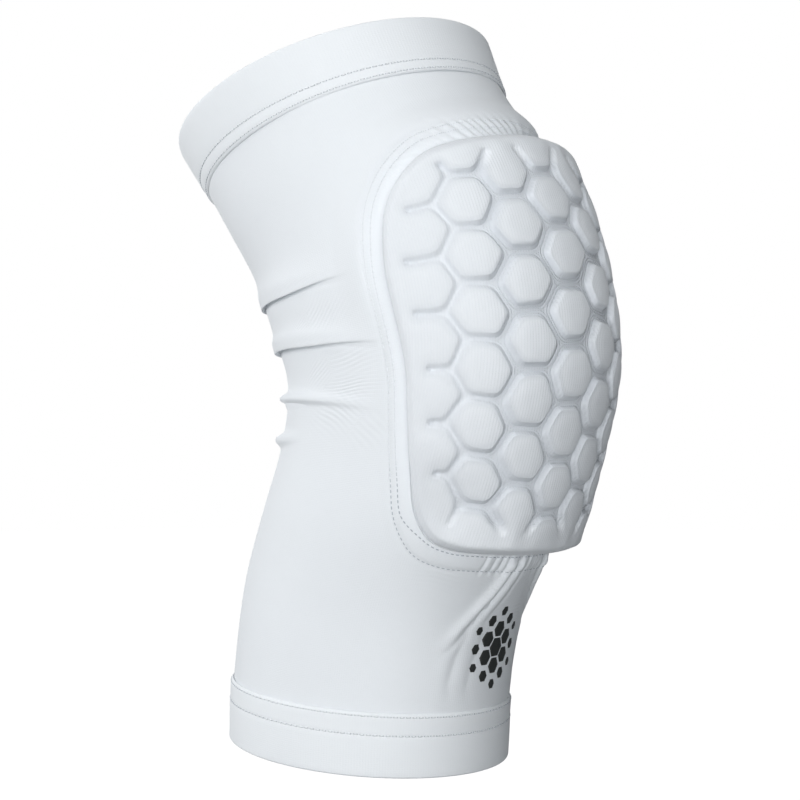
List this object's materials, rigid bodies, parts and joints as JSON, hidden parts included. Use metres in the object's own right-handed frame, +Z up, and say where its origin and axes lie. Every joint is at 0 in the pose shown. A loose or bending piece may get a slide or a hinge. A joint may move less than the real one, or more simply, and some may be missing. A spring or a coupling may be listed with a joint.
{
  "type": "basketball knee pad",
  "caption": "Pull-on knee sleeve of white stretch knit with a moulded honeycomb foam pad round the front of the knee and a doubled cuff at each end",
  "frame": {"origin": "centre of the knee, on the axis of the leg that the sleeve is stretched over", "axes": "+Z up along the leg towards the thigh, the pad faces -Y, the back of the knee faces +Y, X runs from side to side"},
  "size_m": [0.1553, 0.2249, 0.3469],
  "materials": {
    "knit": "white stretch knit with a fine rib and a soft sheen",
    "cuff_knit": "white doubled elastic knit, smooth",
    "pad_face": "white knit moulded over foam, matt",
    "stitching": "white polyester thread",
    "print": "charcoal screen print, satin"
  },
  "bodies": {
    "root": {"sleeve_tube": "knit", "upper_cuff": "cuff_knit", "lower_cuff": "cuff_knit", "honeycomb_pad": "pad_face", "pad_border": "knit"}
  },
  "joints": []
}
